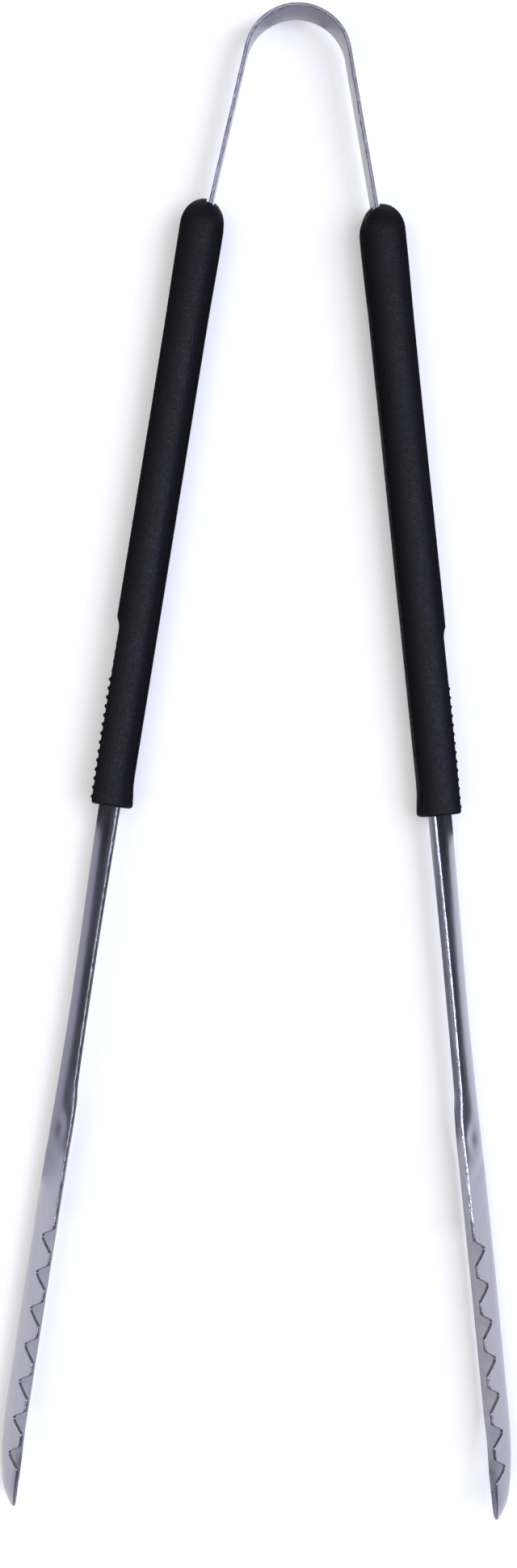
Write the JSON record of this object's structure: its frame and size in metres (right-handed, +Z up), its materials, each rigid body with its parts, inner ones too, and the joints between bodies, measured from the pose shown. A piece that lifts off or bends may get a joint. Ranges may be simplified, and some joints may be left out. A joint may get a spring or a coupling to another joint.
{
  "type": "spring loaded kitchen tongs",
  "caption": "Long kitchen tongs with a flat steel spring bow, black ribbed grips, and channel arms that end in scalloped scoop jaws.",
  "frame": {"origin": "bottom centre of the tongs lying on their side: on the plane that the grips rest on, on the middle line between the arms, half way along the length", "axes": "+X to the right arm, +Y along the tongs towards the spring bow, +Z up, across the width of the strip, towards the toothed edges of the jaws"},
  "size_m": [0.1488, 0.4399, 0.026],
  "materials": {
    "spring_steel": "satin stainless strip, brushed along its length",
    "arm_steel": "satin stainless sheet, brushed along its length",
    "grip_plastic": "black moulded plastic with a fine grain and smoother edges",
    "fastener_steel": "plain steel fasteners"
  },
  "bodies": {
    "bow": {"spring_bow": "spring_steel"},
    "left_side": {"left_arm": "arm_steel", "left_arm_rivets": "fastener_steel", "left_grip_front_shell": "grip_plastic", "left_grip_back_shell": "grip_plastic", "left_grip_screws": "fastener_steel"},
    "right_side": {"right_arm": "arm_steel", "right_arm_rivets": "fastener_steel", "right_grip_front_shell": "grip_plastic", "right_grip_back_shell": "grip_plastic", "right_grip_screws": "fastener_steel"}
  },
  "joints": [
    {"name": "right_squeeze", "type": "hinge", "parent": "bow", "child": "right_side", "pos_m": [0.0155, 0.196, 0.013], "axis": [0, 0, -1], "range_deg": [-3, 9.55], "stiffness_Nm_per_rad": 4.5, "deforming": ["spring_bow"]},
    {"name": "left_squeeze", "type": "hinge", "parent": "bow", "child": "left_side", "pos_m": [-0.0155, 0.196, 0.013], "axis": [0, 0, 1], "range_deg": [-3, 9.55], "stiffness_Nm_per_rad": 4.5, "deforming": ["spring_bow"]}
  ],
  "couplings": [
    {"joint": "left_squeeze", "follows": "right_squeeze", "ratio": 1}
  ]
}
